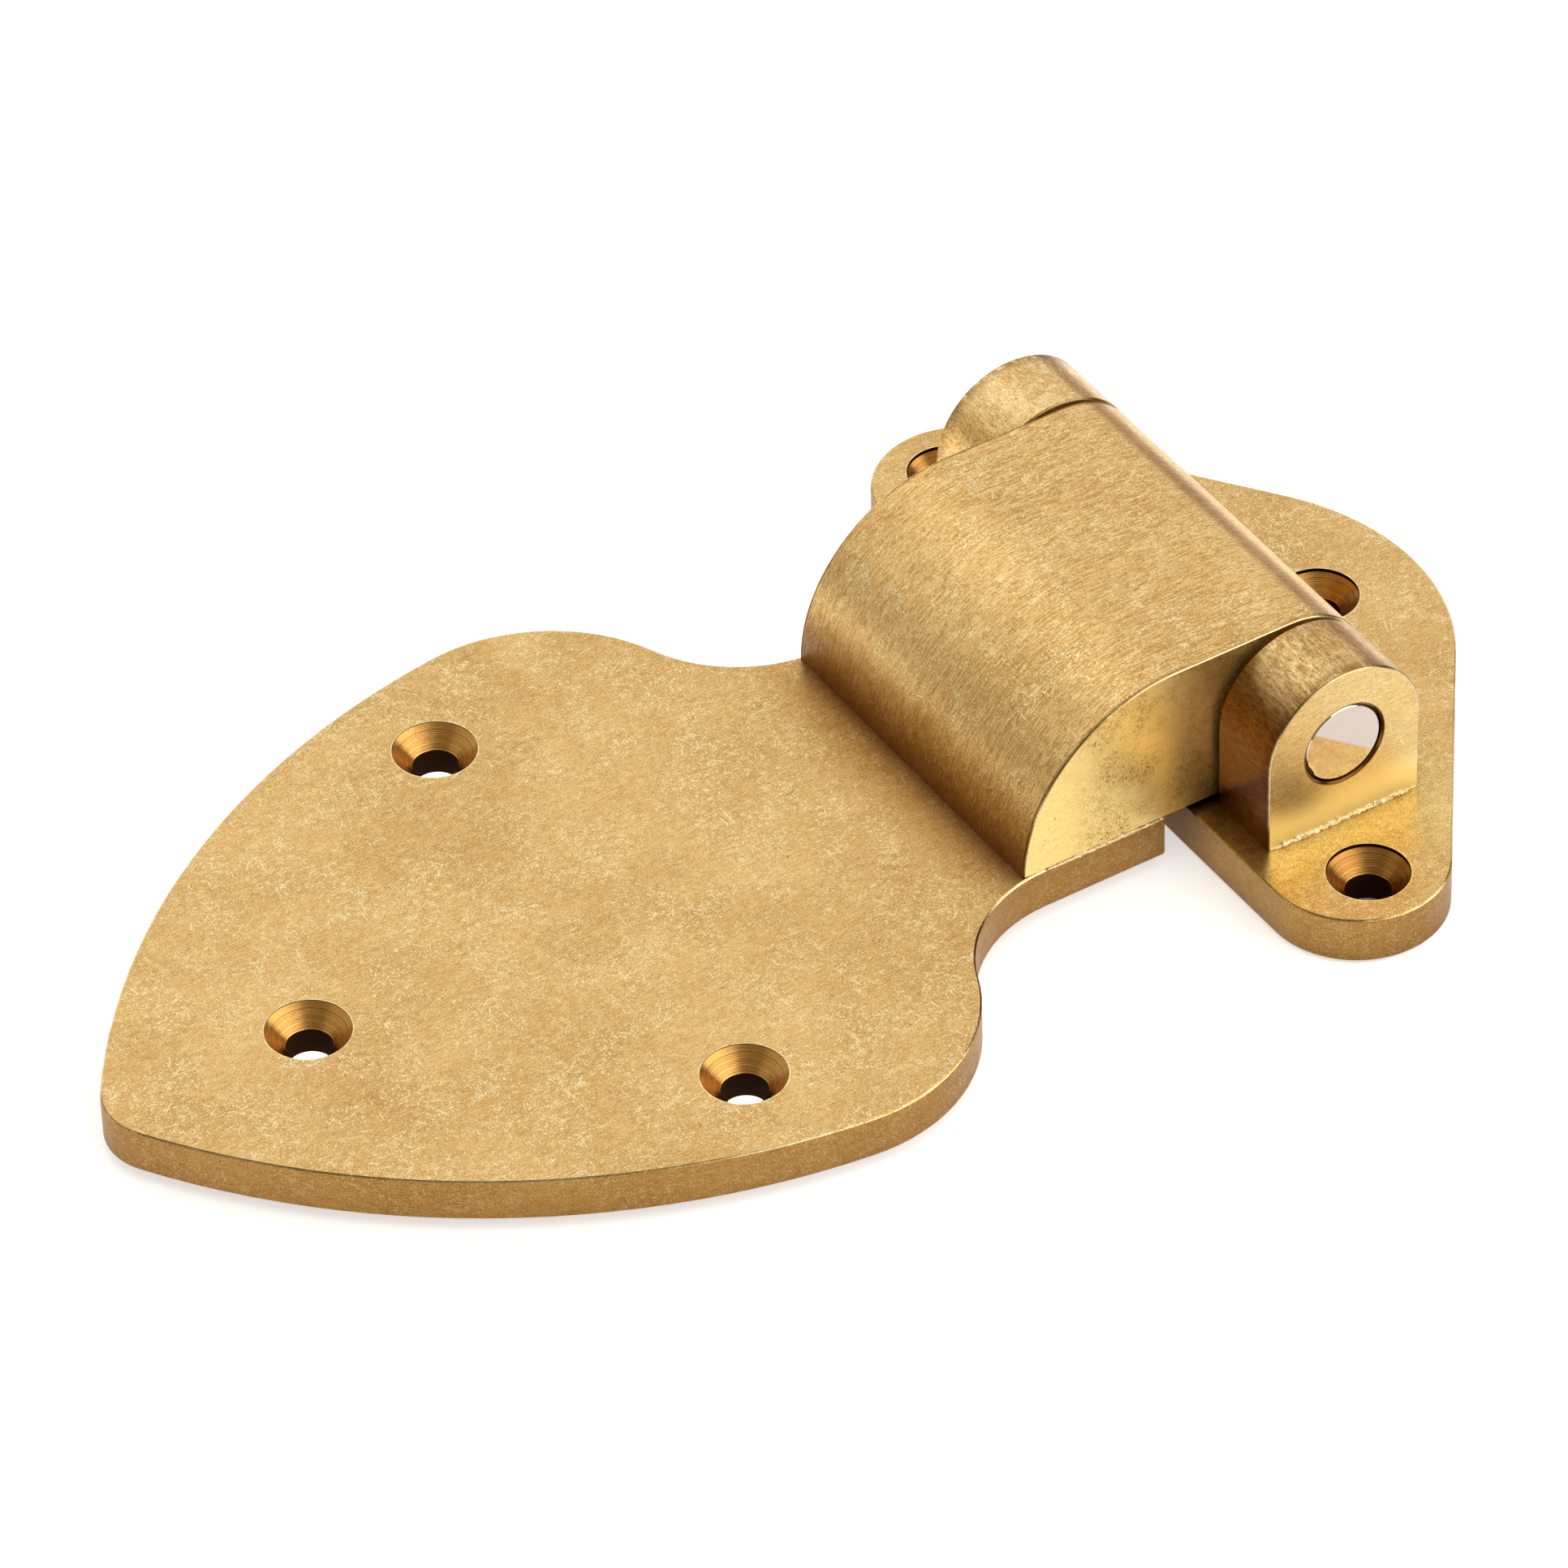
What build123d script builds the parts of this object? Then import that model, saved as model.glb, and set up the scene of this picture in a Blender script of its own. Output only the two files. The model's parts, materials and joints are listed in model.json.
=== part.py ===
"""Door hinge: a spade-shaped door leaf with a solid knuckle block that turns on a steel pin,
held between two lugs on a rounded triangular frame leaf.

+X runs from the door leaf to the frame leaf, Y runs along the pin and +Z stands off the mounting faces.
The origin lies on the frame leaf's back face, straight below the middle of the pin. Millimetres.
"""

from build123d import *
import math
import os

# ---------------------------------------------------------------- driving dimensions

# Knuckle and pin
PIN_DIAMETER = 10.0
PIN_END_RECESS = 0.25          # pin ends stop this far inside the lugs' outer faces
PIN_END_CHAMFER = 0.3
BARREL_RADIUS = 10.0           # rounding of the lugs and of the block, both about the pin's axis
KNUCKLE_LENGTH = 45.3          # block, along the pin
LUG_THICKNESS = 9.7            # each lug, along the pin

# Frame leaf
FRAME_LEAF_THICKNESS = 6.0
FRAME_EDGE_MARGIN = 3.1        # straight edge, outside the lugs' sides
FRAME_END_RADIUS = 10.5
FRAME_END_MARGIN = 6.1         # centre of each rounded end, beyond the lug's outer face
FRAME_REACH = 32.2             # pin axis to the apex of the triangle
FRAME_APEX_RADIUS = 28.1

# Door leaf
DOOR_LEAF_THICKNESS = 5.5
DOOR_LEAF_REACH = 136.7        # pin axis to the tip
DOOR_LEAF_WIDTH = 91.9
DOOR_TIP_RADIUS = 7.4
DOOR_SIDE_RADIUS = 92.0
DOOR_SHOULDER_RADIUS = 20.5
DOOR_SHOULDER_SETBACK = 66.9   # pin axis to the centre of the shoulder arcs
DOOR_NECK_RADIUS = 16.8        # hollow curve between shoulder and neck
DOOR_NECK_END_RADIUS = 0.7     # rounding of the neck's end at the leaf's back

# Knuckle block
BLOCK_TOP_FLAT = 15.1          # flat top, from the pin's axis to the start of the quarter round

# Gaps between the two sides
KNUCKLE_CLEARANCE = 0.7        # block over the frame leaf
SIDE_CLEARANCE = 0.7           # block's end faces to the lugs
NECK_CLEARANCE = 3.5           # end of the neck to the frame leaf's straight edge

# Mounting holes for countersunk wood screws
MOUNT_HOLE_DIAMETER = 5.2
SINK_ANGLE = 90.0
FRAME_SINK_DIAMETER = 9.4
FRAME_SINK_RIM = 0.5           # short straight wall above the cone
DOOR_SINK_DIAMETER = 9.6
DOOR_SINK_RIM = 0.1
FRAME_END_HOLE_INSET = 10.25   # from the straight edge
FRAME_END_HOLE_MARGIN = 8.85   # beyond the lug's outer face
FRAME_APEX_HOLE_INSET = 12.65  # from the apex
DOOR_TIP_HOLE_INSET = 24.6     # from the tip
DOOR_SIDE_HOLE_SETBACK = 77.05 # from the pin axis
DOOR_SIDE_HOLE_INSET = 13.85   # from the widest line of the leaf

# Bushes and thrust washers
RUNNING_GAP = 0.05             # radial, bush on pin
PIN_SEAT_GAP = 0.05            # radial, pin in lug
BUSH_WALL = 1.5
BUSH_LENGTH = 16.0
WASHER_THICKNESS = 0.5
WASHER_WIDTH = 3.2             # ring, from bore to rim
WASHER_BORE_GAP = 0.3          # radial, washer on pin

# Hidden screws, fitted from the backs of the leaves
SCREW_DIAMETER = 4.0
SCREW_HEAD_DIAMETER = 8.0
SCREW_HEAD_SINK = 0.15         # head below the back face
SCREW_SOCKET_WIDTH = 2.5       # across flats
SCREW_SOCKET_DEPTH = 1.4
SCREW_POINT_CHAMFER = 0.5
THREAD_GAP = 0.02              # radial, screw in its tapped hole
LUG_SCREW_EDGE = 3.3           # screw axis to the lug's side
LUG_SCREW_WEB = 0.8            # metal left between screw hole and pin bore
BLOCK_SCREW_FOOT_EDGE = 4.9    # outer pair, from the block's foot
BLOCK_SCREW_SIDE_EDGE = 7.65   # outer pair, from the block's end faces
BLOCK_SCREW_NECK_EDGE = 5.8    # inner pair, from the neck's end
BLOCK_SCREW_INNER_SPACING = 13.0
BLOCK_SCREW_GRIP = 6.6         # length of thread in the block
HOLE_END_GAP = 0.4             # tapped hole runs this far past the screw's end

# Set screws that hold the pin
SET_SCREW_DIAMETER = 3.0
SET_SCREW_LENGTH = 5.0
SET_SCREW_TIP_DIAMETER = 2.0
SET_SCREW_SEAT_DEPTH = 0.3     # spot-drilled seat in the pin
SET_SCREW_SOCKET_WIDTH = 1.5
SET_SCREW_SOCKET_DEPTH = 1.5
SET_SCREW_SEAT_GAP = 0.1       # radial, tip in its seat
KEY_HOLE_GAP = 0.25            # radial, hole in the frame leaf round the set screw's thread

# Edges and solder
LEAF_EDGE_BREAK = 0.2          # front outline of both leaves
LEAF_BACK_BREAK = 0.3          # back outline of both leaves
BLOCK_EDGE_BREAK = 0.2
LUG_EDGE_BREAK = 0.2
BORE_MOUTH_CHAMFER = 0.2
SOLDER_LEG = 0.6               # fillet of solder along each lug's outer foot

# ---------------------------------------------------------------- derived places

PIN_RADIUS = PIN_DIAMETER / 2
BLOCK_BOTTOM = FRAME_LEAF_THICKNESS + KNUCKLE_CLEARANCE
PIN_HEIGHT = BLOCK_BOTTOM + BARREL_RADIUS
BLOCK_HEIGHT = 2 * BARREL_RADIUS
BLOCK_HALF = KNUCKLE_LENGTH / 2
BLOCK_FOOT = BLOCK_TOP_FLAT + BLOCK_HEIGHT
LUG_INNER = BLOCK_HALF + SIDE_CLEARANCE
LUG_OUTER = LUG_INNER + LUG_THICKNESS
LUG_MIDDLE = (LUG_INNER + LUG_OUTER) / 2
LUG_BORE_RADIUS = PIN_RADIUS + PIN_SEAT_GAP
BUSH_BORE_RADIUS = PIN_RADIUS + RUNNING_GAP
BUSH_RADIUS = BUSH_BORE_RADIUS + BUSH_WALL
FRAME_EDGE = BARREL_RADIUS + FRAME_EDGE_MARGIN
NECK_END = FRAME_EDGE + NECK_CLEARANCE
DOOR_LEAF_TOP = BLOCK_BOTTOM
DOOR_LEAF_BACK = DOOR_LEAF_TOP - DOOR_LEAF_THICKNESS
SCREW_RADIUS = SCREW_DIAMETER / 2
SET_SCREW_RADIUS = SET_SCREW_DIAMETER / 2
SET_SCREW_TIP_TOP = PIN_HEIGHT - PIN_RADIUS + SET_SCREW_SEAT_DEPTH
LUG_SCREW_TIP = PIN_HEIGHT - LUG_BORE_RADIUS - LUG_SCREW_WEB - HOLE_END_GAP
LUG_SCREW_X = BARREL_RADIUS - LUG_SCREW_EDGE
BLOCK_SCREW_TIP = BLOCK_BOTTOM + BLOCK_SCREW_GRIP
BLOCK_SCREW_PAIRS = {
    "outer": (-BLOCK_FOOT + BLOCK_SCREW_FOOT_EDGE, BLOCK_HALF - BLOCK_SCREW_SIDE_EDGE),
    "inner": (-NECK_END - BLOCK_SCREW_NECK_EDGE, BLOCK_SCREW_INNER_SPACING / 2),
}
MOUNT_HOLE_RADIUS = MOUNT_HOLE_DIAMETER / 2
CUT_OVERRUN = 1.0              # cutters run past the faces that they open
LEVEL_TOLERANCE = 0.001        # edges closer than this to a level lie on it

STANDING = (Align.CENTER, Align.CENTER, Align.MIN)

# The near side is -Y and the far side +Y.
SIDES = {"near": -1, "far": 1}


# ---------------------------------------------------------------- shared shapes

def on_circle(centre, radius, angle):
    """Point of a circle in the XY plane, with its angle in degrees from +X."""
    turn = math.radians(angle)
    return (centre[0] + radius * math.cos(turn), centre[1] + radius * math.sin(turn))


def arc(centre, radius, start, end):
    """Arc in the XY plane, from the start to the end angle."""
    middle = (start + end) / 2
    return ThreePointArc(*[on_circle(centre, radius, a) for a in (start, middle, end)])


def direction(start, end):
    """Angle in degrees of the line from one point to another."""
    return math.degrees(math.atan2(end[1] - start[1], end[0] - start[0]))


def plate(edges, bottom, thickness):
    """Flat plate with a closed outline, with both its outlines broken."""
    body = Pos(0, 0, bottom) * extrude(make_face(edges), amount=thickness)
    front = body.faces().sort_by(Axis.Z)[-1]
    body = chamfer(front.edges(), LEAF_EDGE_BREAK)
    back = body.faces().sort_by(Axis.Z)[0]
    return chamfer(back.edges(), LEAF_BACK_BREAK)


def upright(radius, low, high):
    """Cylinder on the Z axis between two heights."""
    return Pos(0, 0, low) * Cylinder(radius, high - low, align=STANDING)


def taper(low_radius, high_radius, low, high):
    """Cone frustum on the Z axis between two heights."""
    return Pos(0, 0, low) * Cone(low_radius, high_radius, high - low, align=STANDING)


def along_pin(radius, low, high):
    """Cylinder on the pin's axis between two places along Y."""
    rod = Cylinder(radius, high - low)
    return Pos(0, (low + high) / 2, PIN_HEIGHT) * Rot(90, 0, 0) * rod


def cone_depth(wide, narrow):
    """Depth of a countersink between two radii."""
    return (wide - narrow) / math.tan(math.radians(SINK_ANGLE / 2))


def mount_hole(sink_diameter, rim, back, front):
    """Cutter for a mounting hole with its countersink in the front face."""
    sink_radius = sink_diameter / 2
    depth = cone_depth(sink_radius, MOUNT_HOLE_RADIUS)
    bore = upright(MOUNT_HOLE_RADIUS, back - CUT_OVERRUN, front)
    cone = taper(MOUNT_HOLE_RADIUS, sink_radius, front - rim - depth, front - rim)
    return bore + cone + upright(sink_radius, front - rim, front + CUT_OVERRUN)


def screw_hole(back, tip):
    """Cutter for a hidden screw: countersink in the back face and tapped hole to its tip."""
    head_radius = SCREW_HEAD_DIAMETER / 2
    seat = back + SCREW_HEAD_SINK
    depth = cone_depth(head_radius, SCREW_RADIUS)
    mouth = upright(head_radius, back - CUT_OVERRUN, seat)
    cone = taper(head_radius, SCREW_RADIUS, seat, seat + depth)
    return mouth + cone + upright(SCREW_RADIUS, seat, tip + HOLE_END_GAP)


def hex_socket(width, low, high):
    """Six-sided socket cutter on the Z axis."""
    section = RegularPolygon(width / 2, 6, major_radius=False)
    return Pos(0, 0, low) * extrude(section, amount=high - low)


def countersunk_screw(back, tip):
    """Countersunk socket screw, head down."""
    head_radius = SCREW_HEAD_DIAMETER / 2
    shank_radius = SCREW_RADIUS - THREAD_GAP
    seat = back + SCREW_HEAD_SINK
    head = taper(head_radius, shank_radius, seat, seat + cone_depth(head_radius, shank_radius))
    point_start = tip - SCREW_POINT_CHAMFER
    shank = upright(shank_radius, seat, point_start)
    point = taper(shank_radius, shank_radius - SCREW_POINT_CHAMFER, point_start, tip)
    socket = hex_socket(SCREW_SOCKET_WIDTH, seat - CUT_OVERRUN, seat + SCREW_SOCKET_DEPTH)
    return head + shank + point - socket


# ---------------------------------------------------------------- frame side

def frame_outline():
    """Rounded triangle: straight edge at -X, two rounded ends and a wide rounded apex at +X."""
    end = (-FRAME_EDGE + FRAME_END_RADIUS, LUG_OUTER + FRAME_END_MARGIN)
    apex = (FRAME_REACH - FRAME_APEX_RADIUS, 0)
    spread = math.hypot(end[0] - apex[0], end[1] - apex[1])
    lean = math.degrees(math.acos((FRAME_APEX_RADIUS - FRAME_END_RADIUS) / spread))
    tangent = direction(apex, end) - lean
    low_end = (end[0], -end[1])
    upper = Line(on_circle(apex, FRAME_APEX_RADIUS, tangent), on_circle(end, FRAME_END_RADIUS, tangent))
    lower = Line(on_circle(low_end, FRAME_END_RADIUS, -tangent), on_circle(apex, FRAME_APEX_RADIUS, -tangent))
    return [
        arc(apex, FRAME_APEX_RADIUS, -tangent, tangent),
        upper,
        arc(end, FRAME_END_RADIUS, tangent, 180),
        Line((-FRAME_EDGE, end[1]), (-FRAME_EDGE, -end[1])),
        arc(low_end, FRAME_END_RADIUS, -180, -tangent),
        lower,
    ]


def frame_leaf():
    """Frame leaf with its three mounting holes and the holes for the lugs' screws."""
    leaf = plate(frame_outline(), 0, FRAME_LEAF_THICKNESS)
    hole = mount_hole(FRAME_SINK_DIAMETER, FRAME_SINK_RIM, 0, FRAME_LEAF_THICKNESS)
    end_hole_y = LUG_OUTER + FRAME_END_HOLE_MARGIN
    leaf -= Pos(FRAME_REACH - FRAME_APEX_HOLE_INSET, 0, 0) * hole
    key_hole = upright(SET_SCREW_RADIUS + KEY_HOLE_GAP, -CUT_OVERRUN, FRAME_LEAF_THICKNESS + CUT_OVERRUN)
    for side in SIDES.values():
        leaf -= Pos(-FRAME_EDGE + FRAME_END_HOLE_INSET, side * end_hole_y, 0) * hole
        leaf -= Pos(0, side * LUG_MIDDLE, 0) * key_hole
        for x in (-LUG_SCREW_X, LUG_SCREW_X):
            leaf -= Pos(x, side * LUG_MIDDLE, 0) * screw_hole(0, LUG_SCREW_TIP)
    return leaf


def pin_lug(side):
    """Upright lug with a half-round top and the pin's bore."""
    bottom = Pos(0, side * LUG_MIDDLE, FRAME_LEAF_THICKNESS)
    post = Box(2 * BARREL_RADIUS, LUG_THICKNESS, PIN_HEIGHT - FRAME_LEAF_THICKNESS, align=STANDING)
    ends = sorted((side * LUG_INNER, side * LUG_OUTER))
    lug = bottom * post + along_pin(BARREL_RADIUS, *ends)
    faces = lug.faces().filter_by(Axis.Y).sort_by(Axis.Y)
    sole = FRAME_LEAF_THICKNESS + LEVEL_TOLERANCE
    rims = [e for f in (faces[0], faces[-1]) for e in f.edges() if e.center().Z > sole]
    lug = chamfer(rims, LUG_EDGE_BREAK)
    lug -= along_pin(LUG_BORE_RADIUS, -LUG_OUTER - CUT_OVERRUN, LUG_OUTER + CUT_OVERRUN)
    mouth = Cone(LUG_BORE_RADIUS, LUG_BORE_RADIUS + BORE_MOUTH_CHAMFER, BORE_MOUTH_CHAMFER)
    mouth_y = side * (LUG_OUTER - BORE_MOUTH_CHAMFER / 2)
    lug -= Pos(0, mouth_y, PIN_HEIGHT) * Rot(-90 * side, 0, 0) * mouth
    lug -= Pos(0, side * LUG_MIDDLE, 0) * upright(SET_SCREW_RADIUS, 0, PIN_HEIGHT)
    for x in (-LUG_SCREW_X, LUG_SCREW_X):
        lug -= Pos(x, side * LUG_MIDDLE, 0) * screw_hole(0, LUG_SCREW_TIP)
    return lug


def hinge_pin():
    """Polished pin with chamfered ends and a spot-drilled seat for each set screw."""
    half = LUG_OUTER - PIN_END_RECESS
    pin = along_pin(PIN_RADIUS, -half, half)
    pin = chamfer(pin.edges().filter_by(GeomType.CIRCLE), PIN_END_CHAMFER)
    seat = upright(SET_SCREW_TIP_DIAMETER / 2 + SET_SCREW_SEAT_GAP, 0, SET_SCREW_TIP_TOP)
    for side in SIDES.values():
        pin -= Pos(0, side * LUG_MIDDLE, 0) * seat
    return pin


def set_screw(side):
    """Dog-point set screw below the pin, with its socket facing the leaf's back."""
    radius = SET_SCREW_RADIUS - THREAD_GAP
    bottom = SET_SCREW_TIP_TOP - SET_SCREW_LENGTH
    tip_radius = SET_SCREW_TIP_DIAMETER / 2
    step = radius - tip_radius
    shoulder = PIN_HEIGHT - LUG_BORE_RADIUS - step
    thread = upright(radius, bottom, shoulder - step)
    point = taper(radius, tip_radius, shoulder - step, shoulder)
    dog = upright(tip_radius, shoulder, SET_SCREW_TIP_TOP)
    socket = hex_socket(SET_SCREW_SOCKET_WIDTH, bottom - CUT_OVERRUN, bottom + SET_SCREW_SOCKET_DEPTH)
    return Pos(0, side * LUG_MIDDLE, 0) * (thread + point + dog - socket)


def lug_screw(side, x):
    """Countersunk screw up through the frame leaf into a lug."""
    return Pos(x, side * LUG_MIDDLE, 0) * countersunk_screw(0, LUG_SCREW_TIP)


def solder_fillet(side):
    """Fillet of solder in the corner between a lug's outer face and the frame leaf."""
    half = BARREL_RADIUS - LUG_EDGE_BREAK
    corner = Plane.YZ * Polyline((0, 0), (side * SOLDER_LEG, 0), (0, SOLDER_LEG), close=True)
    bead = extrude(make_face(corner), amount=half, both=True)
    return Pos(0, side * LUG_OUTER, FRAME_LEAF_THICKNESS) * bead


# ---------------------------------------------------------------- door side

def door_outline():
    """Spade: straight neck, hollow curve, round shoulder, long curved side and small rounded tip."""
    shoulder = (-DOOR_SHOULDER_SETBACK, DOOR_LEAF_WIDTH / 2 - DOOR_SHOULDER_RADIUS)
    rise = BLOCK_HALF + DOOR_NECK_RADIUS - shoulder[1]
    run = math.sqrt((DOOR_SHOULDER_RADIUS + DOOR_NECK_RADIUS) ** 2 - rise**2)
    hollow = (shoulder[0] + run, BLOCK_HALF + DOOR_NECK_RADIUS)
    tip = (-DOOR_LEAF_REACH + DOOR_TIP_RADIUS, 0)

    # The side arc wraps the shoulder and tip circles, so its centre is known from both of them.
    gap = math.dist(shoulder, tip)
    to_shoulder = DOOR_SIDE_RADIUS - DOOR_SHOULDER_RADIUS
    to_tip = DOOR_SIDE_RADIUS - DOOR_TIP_RADIUS
    swing = math.degrees(math.acos((to_shoulder**2 + gap**2 - to_tip**2) / (2 * to_shoulder * gap)))
    side = on_circle(shoulder, to_shoulder, direction(shoulder, tip) % 360 + swing)

    hollow_end = direction(hollow, shoulder) % 360
    shoulder_start = hollow_end - 180
    shoulder_end = direction(side, shoulder) % 360
    tip_start = direction(side, tip) % 360
    half = [
        Line((-NECK_END, BLOCK_HALF), (hollow[0], BLOCK_HALF)),
        arc(hollow, DOOR_NECK_RADIUS, 270, hollow_end),
        arc(shoulder, DOOR_SHOULDER_RADIUS, shoulder_start, shoulder_end),
        arc(side, DOOR_SIDE_RADIUS, shoulder_end, tip_start),
    ]
    nose = arc(tip, DOOR_TIP_RADIUS, tip_start, 360 - tip_start)
    end = Line((-NECK_END, -BLOCK_HALF), (-NECK_END, BLOCK_HALF))
    return [*half, nose, *[mirror(edge, about=Plane.XZ) for edge in half], end]


def block_screw_places():
    """Name and place of each screw that holds the knuckle block."""
    return {
        f"{pair}_{name}": (x, side * y)
        for pair, (x, y) in BLOCK_SCREW_PAIRS.items()
        for name, side in SIDES.items()
    }


def neck_end_rounding():
    """Cutter that rounds the back edge of the neck's end."""
    length = KNUCKLE_LENGTH + 2 * CUT_OVERRUN
    radius = DOOR_NECK_END_RADIUS
    corner = Pos(-NECK_END, 0, DOOR_LEAF_BACK) * Box(2 * radius, length, 2 * radius)
    centre = Pos(-NECK_END - radius, 0, DOOR_LEAF_BACK + radius)
    return corner - centre * Rot(90, 0, 0) * Cylinder(radius, length)


def door_leaf():
    """Door leaf with its three mounting holes and the holes for the block's screws."""
    leaf = plate(door_outline(), DOOR_LEAF_BACK, DOOR_LEAF_THICKNESS) - neck_end_rounding()
    hole = mount_hole(DOOR_SINK_DIAMETER, DOOR_SINK_RIM, DOOR_LEAF_BACK, DOOR_LEAF_TOP)
    side_hole_y = DOOR_LEAF_WIDTH / 2 - DOOR_SIDE_HOLE_INSET
    leaf -= Pos(-DOOR_LEAF_REACH + DOOR_TIP_HOLE_INSET, 0, 0) * hole
    for side in SIDES.values():
        leaf -= Pos(-DOOR_SIDE_HOLE_SETBACK, side * side_hole_y, 0) * hole
    for x, y in block_screw_places().values():
        leaf -= Pos(x, y, 0) * screw_hole(DOOR_LEAF_BACK, BLOCK_SCREW_TIP)
    return leaf


def knuckle_block():
    """Solid block: flat sole, barrel round the pin, flat top and a quarter round down to its foot."""
    crown = PIN_HEIGHT + BARREL_RADIUS
    quarter = (-BLOCK_TOP_FLAT, BLOCK_BOTTOM)
    profile = [
        Line((-BLOCK_FOOT, BLOCK_BOTTOM), (0, BLOCK_BOTTOM)),
        arc((0, PIN_HEIGHT), BARREL_RADIUS, -90, 90),
        Line((0, crown), (-BLOCK_TOP_FLAT, crown)),
        arc(quarter, BLOCK_HEIGHT, 90, 180),
    ]
    section = Plane.XZ * make_face(profile)
    block = extrude(section, amount=BLOCK_HALF, both=True)
    faces = block.faces().filter_by(Axis.Y)
    sole = BLOCK_BOTTOM + LEVEL_TOLERANCE
    rims = [e for f in faces for e in f.edges() if e.center().Z > sole]
    block = chamfer(rims, BLOCK_EDGE_BREAK)
    block -= along_pin(BUSH_RADIUS, -BLOCK_HALF - CUT_OVERRUN, BLOCK_HALF + CUT_OVERRUN)
    for x, y in block_screw_places().values():
        block -= Pos(x, y, 0) * screw_hole(DOOR_LEAF_BACK, BLOCK_SCREW_TIP)
    return block


def bush(side):
    """Plain bush in one end of the block's bore."""
    ends = sorted((side * BLOCK_HALF, side * (BLOCK_HALF - BUSH_LENGTH)))
    return along_pin(BUSH_RADIUS, *ends) - along_pin(BUSH_BORE_RADIUS, -LUG_OUTER, LUG_OUTER)


def thrust_washer(side):
    """Flat ring on the pin between a block's end face and its lug."""
    bore = PIN_RADIUS + WASHER_BORE_GAP
    ends = sorted((side * BLOCK_HALF, side * (BLOCK_HALF + WASHER_THICKNESS)))
    return along_pin(bore + WASHER_WIDTH, *ends) - along_pin(bore, -LUG_OUTER, LUG_OUTER)


def block_screw(x, y):
    """Countersunk screw up through the door leaf into the block."""
    return Pos(x, y, 0) * countersunk_screw(DOOR_LEAF_BACK, BLOCK_SCREW_TIP)


# ---------------------------------------------------------------- every piece, by its node's name

def pieces():
    """All pieces of the hinge."""
    made = {
        "frame_leaf": frame_leaf(),
        "hinge_pin": hinge_pin(),
        "door_leaf": door_leaf(),
        "knuckle_block": knuckle_block(),
    }
    for name, side in SIDES.items():
        made[f"pin_lug_{name}"] = pin_lug(side)
        made[f"pin_set_screw_{name}"] = set_screw(side)
        made[f"solder_fillet_{name}"] = solder_fillet(side)
        made[f"bush_{name}"] = bush(side)
        made[f"thrust_washer_{name}"] = thrust_washer(side)
        made[f"lug_screw_{name}_left"] = lug_screw(side, -LUG_SCREW_X)
        made[f"lug_screw_{name}_right"] = lug_screw(side, LUG_SCREW_X)
    for name, (x, y) in block_screw_places().items():
        made[f"block_screw_{name}"] = block_screw(x, y)
    return made


os.makedirs("parts", exist_ok=True)
for node, solid in pieces().items():
    export_step(solid, f"parts/{node}.step")
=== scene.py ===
import json
import math

import bpy
from mathutils import Matrix, Vector, noise

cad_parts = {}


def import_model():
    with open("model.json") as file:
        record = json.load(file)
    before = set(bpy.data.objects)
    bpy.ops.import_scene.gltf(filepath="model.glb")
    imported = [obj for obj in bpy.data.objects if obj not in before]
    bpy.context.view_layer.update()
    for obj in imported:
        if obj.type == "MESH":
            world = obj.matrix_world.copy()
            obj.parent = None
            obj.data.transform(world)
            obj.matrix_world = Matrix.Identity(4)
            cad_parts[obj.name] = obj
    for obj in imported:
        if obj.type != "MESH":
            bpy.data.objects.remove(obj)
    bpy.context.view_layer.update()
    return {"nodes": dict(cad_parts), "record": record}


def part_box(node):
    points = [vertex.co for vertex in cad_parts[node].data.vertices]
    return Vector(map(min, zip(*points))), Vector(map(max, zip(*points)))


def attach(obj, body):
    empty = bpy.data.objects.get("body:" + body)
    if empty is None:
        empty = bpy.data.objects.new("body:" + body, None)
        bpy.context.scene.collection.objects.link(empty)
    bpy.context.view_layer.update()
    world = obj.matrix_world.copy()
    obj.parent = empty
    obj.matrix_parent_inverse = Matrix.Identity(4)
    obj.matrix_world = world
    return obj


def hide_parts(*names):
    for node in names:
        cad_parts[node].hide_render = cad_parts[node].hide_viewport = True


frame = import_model()

# ---------------------------------------------------------------- camera, stage and solder values

MM = 0.001                      # one millimetre in the frame's metres

CAMERA_PLACE = (-0.48216, -0.70991, 0.72625)    # metres
CAMERA_AZIMUTH = -31.245        # degrees; 0 looks along +Y
CAMERA_ELEVATION = 40.694       # degrees that it looks down
CAMERA_ROLL = -1.851
CAMERA_LENS = 230.1             # mm, like the sensor
CAMERA_SENSOR = 36.0
CAMERA_NEAR = 0.05              # metres, like the far end
CAMERA_FAR = 20.0

FLOOR_SIZE = 6.0                # metres
FLOOR_GAP = 0.0002              # metres below the frame leaf's back
FLOOR_COLOUR = (0.92, 0.92, 0.92)
FLOOR_ROUGHNESS = 0.9
FLOOR_GLOW = 0.55
HOLE_GLOW = 0.5                 # painted light: extra glow of the paper under the door leaf's holes, seen through them
HOLE_FADE = 1.0                 # mm over which the paper's light changes at a hole
ROOM_COLOUR = (1.0, 0.88, 0.70, 1.0)
ROOM_LEVEL = 0.33
BOX_DISTANCE = 1.5              # metres from the origin to each softbox

BEAD_SIZE = 0.42                # mm, radius of the bead along a lug's foot
SEAM_SIZE = 0.16                # mm, radius of the seam below an end of the block
BEAD_INSET = 0.2                # mm, short of the lug's sides
SEAM_INSET = 3.0                # mm, short of the block's front
SEAM_END = -17.2                # mm, x of the seam's other end, short of the door leaf's
BEAD_STEP = 0.12                # mm between the sections of a bead
BEAD_ARC = 6                    # steps round a section
BEAD_SINK = 0.15                # mm below the faces it lies on
BEAD_LUMP = 0.6                 # share of the radius that the lumps add or take
BEAD_RATE = 2.1                 # noise cells per mm
BEAD_TAPER = 8.0                # how fast the ends thin out
BEAD_TIP = 0.25                 # share of the radius left at the very end

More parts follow.
